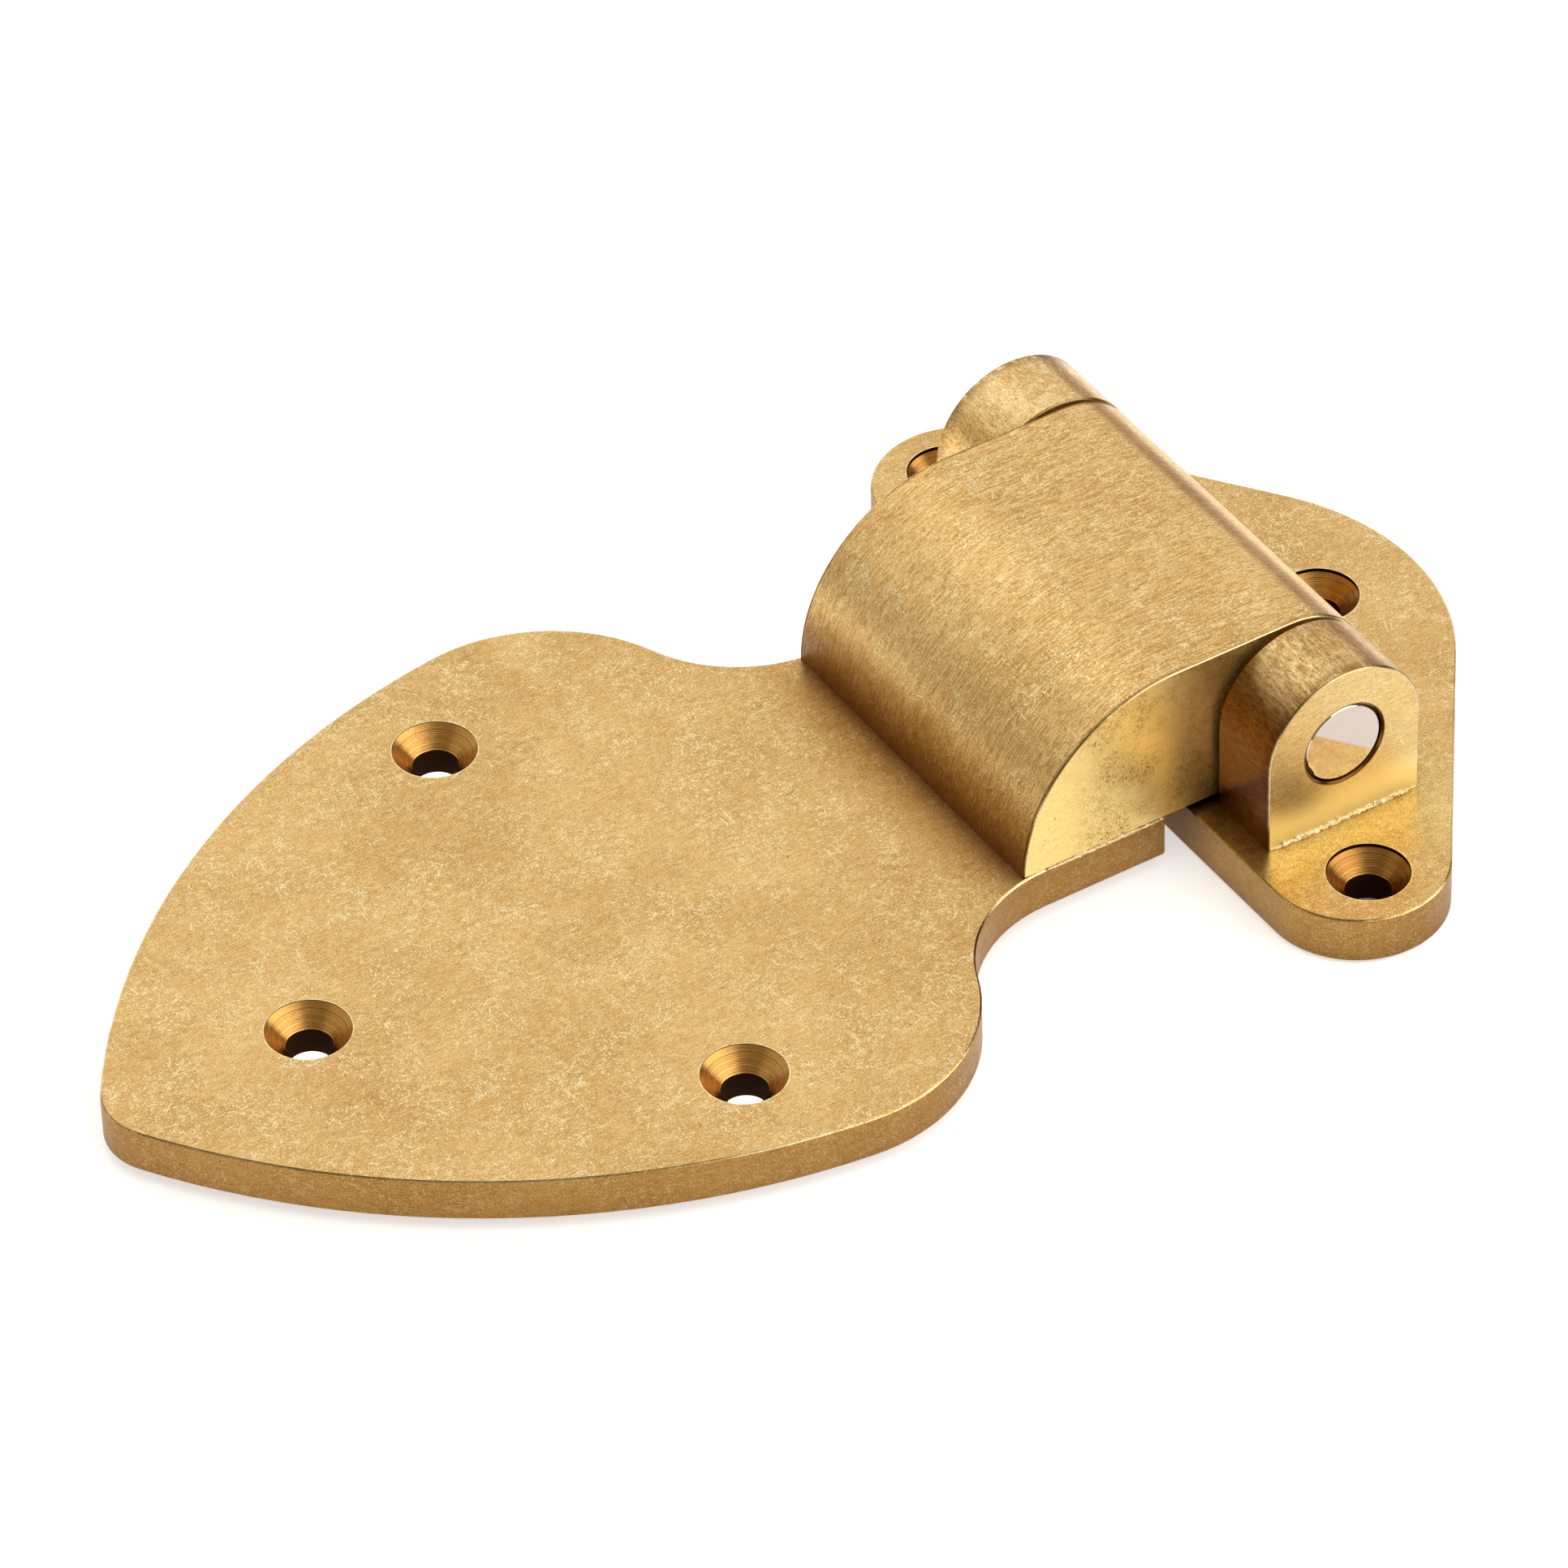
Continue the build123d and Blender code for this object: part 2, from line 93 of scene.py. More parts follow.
# ---------------------------------------------------------------- places, mm


def box_mm(node):
    """Low and high corner of a CAD node, mm."""
    return [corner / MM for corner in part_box(node)]


def holes_mm(pair, single):
    """Axes (x, y) of a leaf's three holes, mm, from the mounts of the pair and of the single one."""
    mounts = {mount["name"]: mount for mount in frame["record"]["mounts"]}
    pair_x = mounts[pair]["pos_m"][0] / MM
    pair_y = mounts[pair]["dims"]["spacing_y_mm"] / 2
    return (pair_x, pair_y), (pair_x, -pair_y), (mounts[single]["pos_m"][0] / MM, 0.0)


BLOCK_LOW, BLOCK_HIGH = box_mm("knuckle_block")
LUG_LOW, LUG_HIGH = box_mm("pin_lug_near")
PIN_LOW, PIN_HIGH = box_mm("hinge_pin")
FRAME_BACK, FRAME_TOP = (corner.z for corner in box_mm("frame_leaf"))
DOOR_TOP = box_mm("door_leaf")[1].z
PIN_RADIUS = PIN_HIGH.x
PIN_HEIGHT = PIN_HIGH.z - PIN_RADIUS    # of its axis
BLOCK_OUTER = BLOCK_HIGH.y      # how far the block's ends are from the middle
LUG_OUTER = -LUG_LOW.y          # how far the lugs' outer faces are from the middle
BLOCK_TURN = -7.5               # x on the block's flat top from which the grain runs down both ways
DOOR_HOLES = holes_mm("door_side_holes", "door_tip_hole")
FRAME_HOLES = holes_mm("frame_end_holes", "frame_apex_hole")
DOOR_SINK_RADIUS = 4.8          # of a countersink's mouth
FRAME_SINK_RADIUS = 4.7
CROWN_LINE = (3.5, 5.6)         # x range of the brown line along the barrel

# ---------------------------------------------------------------- colours, scene linear

WORN = (0.95, 0.665, 0.285)
UMBER = (0.49, 0.27, 0.070)
YELLOW = (0.92, 0.72, 0.28)
STAIN_AND_SHADE = (0.15, 0.062, 0.014)
SCRATCH_AND_HIGHLIGHT = (1.0, 0.89, 0.55)
PALE = (1.0, 0.82, 0.44)
SINK_LIGHT = (0.80, 0.46, 0.13)
SINK_DARK = (0.42, 0.18, 0.035)
WALL_SHADE_COLOUR = (0.016, 0.005, 0.002)
SOLDER_DULL = (0.80, 0.55, 0.22)
SOLDER_BRIGHT = (1.0, 0.87, 0.52)
SOLDER_GRAIN = (0.45, 0.27, 0.09)
PIN_STEEL = (0.58, 0.51, 0.45)
BUSH_LIGHT = (0.62, 0.36, 0.16)
BUSH_DARK = (0.30, 0.15, 0.06)
WASHER_LIGHT = (0.66, 0.42, 0.18)
WASHER_DARK = (0.34, 0.19, 0.08)
SCREW_LIGHT = (0.80, 0.56, 0.24)
SCREW_DARK = (0.42, 0.25, 0.09)
SET_SCREW_LIGHT = (0.30, 0.30, 0.31)
SET_SCREW_DARK = (0.10, 0.10, 0.11)

# Tones, which multiply a colour.
EDGE_SHADE_AND_MARK_TONE = (0.50, 0.41, 0.30)
FACE_SHADE_TONE = (0.84, 0.85, 0.90)
SHADE_LINE_TONE = (0.30, 0.24, 0.17)
NECK_SHADE_TONE = (0.72, 0.62, 0.50)
CROWN_TONE = (0.60, 0.48, 0.36)
FRECKLE_TONE = (0.62, 0.44, 0.22)
RIM_TONE = (0.45, 0.38, 0.28)
BLOCK_FOOT_SHADE = (0.31, 0.21, 0.14)
HATCH_TONE = (0.46, 0.31, 0.17)
BAND_TONE = (0.42, 0.33, 0.25)
DOOR_SINK_SHADE = (0.92, 0.92, 0.95)
FRAME_SINK_SHADE = (0.66, 0.60, 0.56)
NEAR_SIDE_SHADE = (0.26, 0.145, 0.06)
FAR_SIDE_SHADE = (1.0, 0.9, 0.7)

# ---------------------------------------------------------------- values of the finish

FACE_LAYER = 40.0               # third noise coordinate on a plate's faces; 0 on its edges
END_LAYER = 30.0                # the same on a round piece's ends; 0 round its profile
GRIME_AND_SHADE_REACH = 7.0               # mm that the painted shade and the grime of a corner reach
BUMP_DEPTH = 0.02               # mm
SOLDER_BUMP_DEPTH = 0.12        # mm
ALONG_PIN = (0.3, 9.0, 0.3)     # noise cells per mm along x, y and z
THROUGH_WASHER = (4.0, 0.3, 1.0)
UPRIGHT = (0.3, 0.3, 9.0)


# ---------------------------------------------------------------- shader building

class Shader:
    """One procedural material: short calls that add a node, link it and return its output."""

    def __init__(self, name):
        self.material = bpy.data.materials.new(name)
        self.material.use_nodes = True
        self.tree = self.material.node_tree
        self.tree.nodes.clear()
        out = self.tree.nodes.new("ShaderNodeOutputMaterial")
        self.bsdf = self.tree.nodes.new("ShaderNodeBsdfPrincipled")
        self.tree.links.new(self.bsdf.outputs[0], out.inputs[0])
        self.bsdf.inputs["Metallic"].default_value = 1.0

    def put(self, socket, value):
        """Links an output to a socket, or sets the socket to a number or tuple."""
        if isinstance(value, bpy.types.NodeSocket):
            self.tree.links.new(value, socket)
        elif isinstance(value, tuple):
            socket.default_value = (*value, 1.0)[: len(socket.default_value)]
        else:
            socket.default_value = value

    def surface(self, values):
        """Puts values on the surface shader's sockets."""
        for name, value in values.items():
            self.put(self.bsdf.inputs[name], value)

    def node(self, kind, inputs=(), **settings):
        """New node of a kind, with its inputs and settings."""
        made = self.tree.nodes.new("ShaderNode" + kind)
        for key, value in settings.items():
            setattr(made, key, value)
        for key, value in dict(inputs).items():
            self.put(made.inputs[key], value)
        return made

    def math(self, operation, a, b=0.0, clamp=False):
        """Result of one operation on numbers."""
        return self.node("Math", {0: a, 1: b}, operation=operation, use_clamp=clamp).outputs[0]

    def times(self, *values):
        """Product of the values."""
        total = values[0]
        for value in values[1:]:
            total = self.math("MULTIPLY", total, value)
        return total

    def plus(self, *values):
        """Sum of the values."""
        total = values[0]
        for value in values[1:]:
            total = self.math("ADD", total, value)
        return total

    def rest(self, share):
        """What a share leaves of one."""
        return self.math("SUBTRACT", 1.0, share)

    def blend(self, factor, a, b):
        """Number a where factor is 0, b where it is 1."""
        return self.node("Mix", {0: factor, 2: a, 3: b}, data_type="FLOAT").outputs[0]

    def colour(self, factor, a, b, blend="MIX"):
        """Colour a where factor is 0, b where it is 1."""
        made = self.node("Mix", {0: factor, 6: a, 7: b}, data_type="RGBA", blend_type=blend)
        return made.outputs[2]

    def ramp(self, value, start, end):
        """0 at start and 1 at end, with soft ends."""
        made = self.node("MapRange", {0: value, 1: start, 2: end}, interpolation_type="SMOOTHSTEP")
        return made.outputs[0]

    def band(self, value, start, end, soft):
        """1 between start and end, 0 outside, with soft sides."""
        rise = self.ramp(value, start - soft, start + soft)
        return self.times(rise, self.ramp(value, end + soft, end - soft))

    def vector(self, operation, a, b=(0.0, 0.0, 0.0)):
        """Result of one operation on vectors."""
        return self.node("VectorMath", {0: a, 1: b}, operation=operation).outputs[0]

    def scaled(self, vector, factor):
        """A vector times a number."""
        return self.node("VectorMath", {0: vector, "Scale": factor}, operation="SCALE").outputs[0]

    def stretch(self, vector, x, y, z=1.0):
        """A vector times one factor along each axis."""
        return self.vector("MULTIPLY", vector, (x, y, z))

    def distance(self, a, b):
        """Distance between two points."""
        return self.node("VectorMath", {0: a, 1: b}, operation="DISTANCE").outputs["Value"]

    def combine(self, x, y, z=0.0):
        """Vector of three numbers."""
        return self.node("CombineXYZ", {0: x, 1: y, 2: z}).outputs[0]

    def separate(self, vector):
        """The three numbers of a vector."""
        return self.node("SeparateXYZ", {0: vector}).outputs

    def noise(self, vector, scale, detail=2.0, rough=0.5, twist=0.0):
        """Cloudy noise from 0 to 1."""
        inputs = {"Vector": vector, "Scale": scale, "Detail": detail, "Roughness": rough}
        return self.node("TexNoise", {**inputs, "Distortion": twist}).outputs[0]

    def bump(self, height, depth, strength=1.0):
        """Surface direction over a height that spans a depth in metres."""
        inputs = {"Height": height, "Distance": depth, "Strength": strength}
        return self.node("Bump", inputs).outputs[0]

    def place(self):
        """Position in the part's frame, in millimetres."""
        return self.scaled(self.node("TexCoord").outputs["Object"], 1.0 / MM)

    def normal(self):
        """The surface's direction x, y, z."""
        return self.separate(self.node("TexCoord").outputs["Normal"])

    def facing(self):
        """The surface's direction x, y, z, each without its sign."""
        return self.separate(self.vector("ABSOLUTE", self.node("TexCoord").outputs["Normal"]))

    def corner(self, reach):
        """0 in the open and 1 deep in a corner or gap."""
        open_share = self.node("AmbientOcclusion", {"Distance": reach * MM}, samples=4).outputs["AO"]
        return self.rest(open_share)


# ---------------------------------------------------------------- where the grain of each piece runs

def plate_grain(s):
    """Grain along X on the faces of a plate; round the outline on its edges."""
    x, y, z = s.separate(s.place())
    nx, ny, nz = s.facing()
    face = s.math("GREATER_THAN", nz, 0.5)
    run = s.blend(s.math("GREATER_THAN", nx, ny), x, y)
    return s.combine(s.blend(face, run, x), s.blend(face, z, y), s.times(face, FACE_LAYER))


def round_grain(s, top, turn):
    """Grain round the profile of a piece with its axis along Y; along X on its end faces."""
    x, y, z = s.separate(s.place())
    _, ny, _ = s.facing()
    end = s.math("GREATER_THAN", ny, 0.8)
    side = s.math("SIGN", s.math("SUBTRACT", x, turn))
    along = s.plus(x, s.times(side, s.math("SUBTRACT", top, z)))
    return s.combine(s.blend(end, along, x), s.blend(end, y, z), s.times(end, END_LAYER))


# ---------------------------------------------------------------- layers of wear

def brushing(s, grain):
    """Fine parallel lines left by the abrasive belt."""
    long_lines = s.noise(s.stretch(grain, 0.40, 4.5), scale=1.0, detail=3.0, rough=0.7)
    short_lines = s.noise(s.stretch(grain, 1.4, 11.0), scale=1.0, detail=2.0, rough=0.7)
    return s.plus(s.times(long_lines, 0.5), s.times(short_lines, 0.5))


def hairs(s, grain, per_mm, width, share):
    """Curly hairline scratches: broken contour lines of a noise."""
    field = s.noise(grain, per_mm, twist=0.6)
    line = s.ramp(s.math("ABSOLUTE", s.math("SUBTRACT", field, 0.5)), width, width * 0.25)
    broken = s.ramp(s.noise(grain, per_mm * 1.9, detail=1.0), 0.62 - share * 0.2, 0.70 - share * 0.2)
    return s.times(line, broken)


def nicks(s, grain, per_mm, length, width, share):
    """Short scratches in every direction, a little bent."""
    wander = s.node("TexNoise", {"Vector": grain, "Scale": 0.7 / length, "Detail": 0.0}).outputs["Color"]
    bent = s.vector("ADD", grain, s.scaled(wander, length * 0.25))
    cells = s.node("TexVoronoi", {"Vector": bent, "Scale": per_mm}, voronoi_dimensions="2D")
    local = s.vector("SUBTRACT", bent, cells.outputs["Position"])
    chance, turn, shade = s.separate(cells.outputs["Color"])
    angle = s.times(turn, math.pi)
    spin = s.node("VectorRotate", {"Vector": local, "Angle": angle}, rotation_type="Z_AXIS")
    along, across, _ = s.separate(s.vector("ABSOLUTE", spin.outputs[0]))
    line = s.times(s.ramp(across, width, width * 0.3), s.ramp(along, length, length * 0.3))
    return s.times(line, s.math("GREATER_THAN", share, chance), s.plus(0.5, shade))


def clusters(s, grain, per_mm, start, end):
    """Soft patches in which wear gathers."""
    return s.ramp(s.noise(grain, per_mm, detail=3.0, rough=0.6, twist=0.3), start, end)


class Wear:
    """The layers of wear over one piece, each a number from 0 to 1."""

    def __init__(self, s, grain, scuffed, pitted):
        self.brushed = brushing(s, grain)
        self.cloud = s.noise(grain, scale=0.06, detail=3.0, rough=0.6, twist=0.4)
        self.mottle = s.noise(grain, scale=0.9, detail=4.0, rough=0.65, twist=0.5)
        self.grit = s.noise(grain, scale=6.5, detail=2.0, rough=0.8, twist=0.5)
        self.marks = self.scratches(s, grain, scuffed)
        specks = s.ramp(s.noise(grain, scale=2.4, rough=0.55, twist=1.8), 0.63, 0.71)
        self.pits = s.times(specks, clusters(s, grain, 0.12, 0.46, 0.60), pitted)

    def scratches(self, s, grain, scuffed):
        """Bright hairlines, nicks and smudges, denser in patches."""
        hair = s.times(hairs(s, s.stretch(grain, 0.6, 1.0), per_mm=0.8, width=0.014, share=0.6), 0.3)
        long_nicks = nicks(s, grain, per_mm=0.40, length=0.95, width=0.090, share=0.42)
        short_nicks = nicks(s, grain, per_mm=1.05, length=0.34, width=0.098, share=0.50)
        dots = nicks(s, grain, per_mm=2.4, length=0.12, width=0.105, share=0.50)
        smudge = s.times(s.ramp(s.times(self.mottle, self.grit), 0.29, 0.34), 0.7)
        gathered = s.plus(s.times(clusters(s, grain, 0.19, 0.36, 0.68), 0.85), 0.25)
        every_mark = s.plus(hair, long_nicks, short_nicks, dots, smudge)
        return s.math("MULTIPLY", every_mark, s.times(gathered, scuffed), clamp=True)

    def tone(self, s, fine, broad, lined):
        """How light the brass is, around one half."""
        layers = (
            (self.cloud, 0.9, broad),
            (self.mottle, 0.65, broad),
            (self.grit, 2.9, fine),
            (self.brushed, 2.3, lined),
        )
        offsets = [s.times(s.math("SUBTRACT", layer, 0.5), gain, share) for layer, gain, share in layers]
        return s.plus(0.5, *offsets)


def tint(s, colour, mask, tone):
    """The colour multiplied by a tone where the mask is 1."""
    return s.colour(mask, colour, tone, "MULTIPLY")


def brass_colour(s, wear, fine=1.0, broad=1.0, lined=1.0):
    """Tarnished to worn brass with bright marks and dark pits."""
    tone = s.math("MULTIPLY", wear.tone(s, fine, broad, lined), 1.0, clamp=True)
    colour = s.colour(tone, UMBER, WORN)
    colour = s.colour(s.times(wear.marks, 0.9), colour, SCRATCH_AND_HIGHLIGHT)
    return s.colour(wear.pits, colour, STAIN_AND_SHADE)


def finish(s, wear, colour, roughness, grime_and_shade, extra_height=0.0):
    """Grime and painted shade in the corners, then colour, roughness and bump go to the surface."""
    # Painted shade: darker where ambient occlusion finds a corner or gap, standing for shade as well as
    # grime.
    corner = s.times(s.ramp(s.corner(GRIME_AND_SHADE_REACH), 0.10, 0.85), grime_and_shade)
    uneven = s.plus(s.times(wear.mottle, 0.12), s.times(wear.brushed, 0.06), s.times(wear.pits, 0.2))
    height = s.plus(s.times(wear.brushed, 0.9), s.times(wear.grit, 0.3), s.times(wear.pits, -1.0))
    s.surface({
        "Base Color": s.colour(corner, colour, STAIN_AND_SHADE),
        "Roughness": s.plus(s.math("SUBTRACT", roughness, 0.09), uneven),
        "Normal": s.bump(s.plus(height, extra_height), BUMP_DEPTH * MM, 0.8),
    })
    return s


# ---------------------------------------------------------------- brass of the two leaves

def hole_distance(s, holes):
    """Distance from the axis of the nearest hole, mm."""
    x, y, _ = s.separate(s.place())
    flat = s.combine(x, y)
    first, second, third = (s.distance(flat, (*hole, 0)) for hole in holes)
    return s.math("MINIMUM", s.math("MINIMUM", first, second), third)


def plate_arris(s, wear, colour, arris, top):
    """Bright broken arrises, with a thin line of painted shade along the front ones."""
    _, _, z = s.separate(s.place())
    worn = s.ramp(wear.cloud, 0.42, 0.60)
    colour = s.colour(s.times(arris, worn, 0.5), colour, SCRATCH_AND_HIGHLIGHT)
    front = s.ramp(z, top - 0.15, top - 0.08)
    return tint(s, colour, s.times(arris, front, 0.55), SHADE_LINE_TONE)


def hole_rim_highlight(s, wear, colour, away, sink_radius, top):
    """Painted highlight: a bright rim round the countersinks in front."""
    _, _, z = s.separate(s.place())
    rim_highlight = s.times(s.ramp(wear.mottle, 0.30, 0.55), s.ramp(z, top - 1.0, top - 0.5), 0.8)
    rim = s.band(away, sink_radius, sink_radius + 0.12, 0.04)
    return s.colour(s.times(rim, rim_highlight), colour, SCRATCH_AND_HIGHLIGHT)


def plate_brass(node, holes, sink_radius, sink_shade_tone, pitted, painted_light_tint):
    """Brushed faces, duller edges darkened with painted shade, thin broken arrises, turned countersinks
    and near-black hole walls, a painted shade.
    """
    s = Shader(f"{node}_brass")
    wear = Wear(s, plate_grain(s), scuffed=1.0, pitted=pitted)
    top = box_mm(node)[1].z
    _, _, nz = s.facing()
    away = hole_distance(s, holes)
    in_hole = s.ramp(away, sink_radius + 0.05, sink_radius)
    outside = s.rest(in_hole)
    slope = s.band(nz, 0.35, 0.93, 0.04)
    edge = s.ramp(nz, 0.35, 0.25)
    arris, cone, wall = s.times(slope, outside), s.times(slope, in_hole), s.times(edge, in_hole)

    # Each leaf's own painted light: shade in front of the block's foot on the door leaf, a reflection of
    # the lugs on the frame leaf.
    colour = painted_light_tint(s, wear, brass_colour(s, wear))
    # Painted shade: the plate's side edges darker.
    colour = tint(s, colour, s.times(edge, outside), EDGE_SHADE_AND_MARK_TONE)
    colour = plate_arris(s, wear, colour, arris, top)
    colour = hole_rim_highlight(s, wear, colour, away, sink_radius, top)
    rings = s.noise(s.combine(s.times(away, 7.0), 0.0), scale=1.0, rough=0.7)
    turned = s.colour(s.ramp(rings, 0.3, 0.7), SINK_DARK, SINK_LIGHT)
    # Painted shade: the countersinks toned down, much darker on the frame leaf than on the door leaf.
    colour = tint(s, s.colour(cone, colour, turned), cone, sink_shade_tone)
    # Painted shade: the hole walls near-black and not metal.
    colour = s.colour(wall, colour, WALL_SHADE_COLOUR)
    s.surface({"Metallic": s.rest(wall), "Specular IOR Level": s.blend(wall, 0.5, 0.05)})
    shiny = s.blend(s.plus(cone, arris), 0.34, 0.20)
    roughness = s.plus(shiny, s.times(edge, 0.12), s.times(wall, 0.4))
    return finish(s, wear, colour, roughness, s.blend(in_hole, 0.9, 0.1), s.times(cone, rings, 2.0))


def door_shade_tint(s, wear, colour):
    """Painted shade: browner where the leaf runs under the block's front."""
    x, y, z = s.separate(s.place())
    near_foot = s.ramp(x, BLOCK_LOW.x - 10.0, BLOCK_LOW.x - 0.5)
    beside = s.ramp(s.math("ABSOLUTE", y), BLOCK_OUTER + 3.0, BLOCK_OUTER - 5.0)
    front = s.ramp(z, DOOR_TOP - 4.0, DOOR_TOP - 1.0)
    return tint(s, colour, s.times(near_foot, beside, front), NECK_SHADE_TONE)


def frame_reflection_tint(s, wear, colour):
    """Painted reflection of the lugs' faces: yellower, in specks, round the feet of the lugs."""
    x, y, _ = s.separate(s.place())
    near_foot = s.ramp(s.math("ABSOLUTE", y), LUG_OUTER + 14.0, LUG_OUTER + 5.0)
    beside = s.ramp(s.math("ABSOLUTE", x), LUG_HIGH.x + 8.0, LUG_HIGH.x - 1.0)
    speckled = s.ramp(s.plus(wear.mottle, s.times(wear.grit, 2.0)), 1.30, 1.75)
    return s.colour(s.times(near_foot, beside, speckled), colour, YELLOW)


# ---------------------------------------------------------------- brass of the block and the lugs

def end_regions(s, outer):
    """Masks of the end faces and of their arrises, and the distance in from the end, mm."""
    _, y, _ = s.separate(s.place())
    _, ny, _ = s.facing()
    end = s.ramp(ny, 0.90, 0.97)
    arris = s.band(ny, 0.3, 0.93, 0.05)
    return end, arris, s.math("SUBTRACT", outer, s.math("ABSOLUTE", y))


def end_arris(s, colour, arris, from_end):
    """Bright arris round an end, a painted highlight, with a thin line of painted shade behind it."""
    colour = s.colour(s.times(arris, 0.35), colour, SCRATCH_AND_HIGHLIGHT)
    return tint(s, colour, s.times(arris, s.ramp(from_end, 0.07, 0.13)), SHADE_LINE_TONE)


def barrel_brown_line(s, colour, where):
    """Brown line along the barrel, just past its crown."""
    x, _, z = s.separate(s.place())
    line = s.times(s.band(x, *CROWN_LINE, 0.7), s.ramp(z, PIN_HIGH.z - 5.0, PIN_HIGH.z), where)
    return tint(s, colour, line, CROWN_TONE)


def block_end(s, colour, grain, end):
    """Yellower end faces with brown freckles and clusters of dark pits; also the mask of the pits."""
    x, _, _ = s.separate(s.place())
    back = s.ramp(x, BLOCK_LOW.x + 4.0, BLOCK_LOW.x + 12.0)
    patch = s.times(s.ramp(s.noise(grain, scale=0.22, rough=0.6), 0.36, 0.60), back)
    freckles = s.ramp(s.noise(grain, scale=1.3, detail=5.0, rough=0.80, twist=0.8), 0.40, 0.68)
    gathered = s.ramp(s.noise(grain, scale=2.0, detail=3.0, rough=0.70, twist=2.6), 0.57, 0.61)
    scattered = s.ramp(s.noise(grain, scale=3.6, rough=0.6, twist=1.0), 0.66, 0.70)
    pits = s.times(s.math("MAXIMUM", s.times(gathered, patch), s.times(scattered, 0.7)), end)

    colour = s.colour(s.times(end, 0.75), colour, YELLOW)
    stained = s.times(end, freckles, s.plus(0.06, s.times(patch, 0.5)))
    colour = tint(s, colour, stained, FRECKLE_TONE)
    return s.colour(s.times(pits, 0.9), colour, STAIN_AND_SHADE), pits


def block_brass():
    """Brushed round its profile; the end faces yellower, with clusters of dark pits."""
    s = Shader("block_brass")
    grain = round_grain(s, BLOCK_HIGH.z, BLOCK_TURN)
    wear = Wear(s, s.stretch(grain, 0.62, 1.0), scuffed=0.8, pitted=0.3)
    x, _, z = s.separate(s.place())
    end, arris, from_end = end_regions(s, BLOCK_OUTER)
    round_part = s.rest(end)

    colour = brass_colour(s, wear, fine=1.1, broad=1.2, lined=2.8)
    colour, pits = block_end(s, colour, grain, end)
    colour = barrel_brown_line(s, colour, round_part)
    rim = s.times(s.band(from_end, 0.2, 0.45, 0.08), s.ramp(wear.cloud, 0.35, 0.55), round_part)
    colour = tint(s, colour, rim, RIM_TONE)
    colour = end_arris(s, colour, arris, from_end)
    # Painted shade: the round front of the block darker towards its foot.
    foot = s.times(s.ramp(z, BLOCK_LOW.z + 10.0, BLOCK_LOW.z), s.ramp(x, -25.0, -32.0), round_part)
    colour = tint(s, colour, foot, BLOCK_FOOT_SHADE)
    roughness = s.blend(arris, 0.34, 0.2)
    return finish(s, wear, colour, roughness, s.blend(end, 0.75, 0.12), s.times(pits, -1.2))


def lug_top(s, colour, grain, round_part, stain):
    """Pale crown and dark crossing lines on a lug's round top."""
    nx, _, _ = s.normal()
    crown = s.ramp(nx, 0.30, -0.45)
    cross = s.noise(s.stretch(grain, 2.2, 0.55), scale=1.0, detail=4.0, rough=0.75, twist=0.8)
    colour = tint(s, colour, s.times(round_part, s.ramp(cross, 0.60, 0.35), stain), EDGE_SHADE_AND_MARK_TONE)
    pale = s.times(round_part, s.ramp(cross, 0.42, 0.68), s.plus(0.15, crown))
    colour = s.colour(s.times(pale, 0.55), colour, PALE)
    hatch = s.times(round_part, s.ramp(cross, 0.60, 0.42), s.rest(crown), stain, 0.5)
    return tint(s, colour, hatch, HATCH_TONE)


def lug_face(s, wear, colour, end):
    """Satin outer face of a lug, toned down with painted shade, and yellower and brighter at its foot
    with a painted reflection.
    """
    _, _, z = s.separate(s.place())
    low = s.ramp(z, PIN_LOW.z + 2.0, FRAME_TOP + 1.0)
    yellow = s.times(end, s.plus(0.32, s.times(low, 0.8)))
    colour = tint(s, s.colour(yellow, colour, YELLOW), end, FACE_SHADE_TONE)
    foot = s.ramp(z, PIN_LOW.z + 1.0, FRAME_TOP + 1.0)
    return s.colour(s.times(foot, s.ramp(wear.brushed, 0.20, 0.45), end), colour, SCRATCH_AND_HIGHLIGHT)


def pin_ring(s, colour):
    """Dark gap round the pin's end."""
    x, _, z = s.separate(s.place())
    off_axis = s.distance(s.combine(x, z), (0, PIN_HEIGHT, 0))
    return s.colour(s.ramp(off_axis, PIN_RADIUS + 0.45, PIN_RADIUS + 0.25), colour, STAIN_AND_SHADE)


def lug_brass(name, side_shade, scuffed, stain):
    """Satin outer face, mottled round top, a stained band behind the bright arris."""
    s = Shader(name)
    grain = round_grain(s, LUG_HIGH.z, 0.0)
    wear = Wear(s, grain, scuffed, pitted=0.2)
    nx, _, _ = s.normal()
    end, arris, from_end = end_regions(s, LUG_OUTER)
    round_part = s.rest(end)

    fine, broad, lined = s.blend(end, 1.2, 0.9), s.blend(end, 2.4, 0.4), s.blend(end, 1.2, 2.4)
    colour = brass_colour(s, wear, fine, broad, lined)
    colour = lug_top(s, colour, grain, round_part, stain)
    colour = lug_face(s, wear, colour, end)
    stained = s.times(s.ramp(from_end, 2.2, 0.2), s.ramp(wear.mottle, 0.35, 0.6), round_part)
    colour = tint(s, colour, s.times(stained, 0.9), BAND_TONE)
    colour = barrel_brown_line(s, colour, round_part)
    # Painted shade: the side of the round part turned to -X darker, much more on the near lug.
    colour = tint(s, colour, s.times(s.ramp(nx, -0.35, -0.95), round_part), side_shade)
    colour = end_arris(s, colour, arris, from_end)
    colour = pin_ring(s, colour)
    roughness = s.blend(arris, s.blend(end, 0.32, 0.40), 0.2)
    grime_and_shade = s.times(s.blend(end, 0.8, 0.25), s.rest(arris))
    return finish(s, wear, colour, roughness, grime_and_shade)


# ---------------------------------------------------------------- the other metals

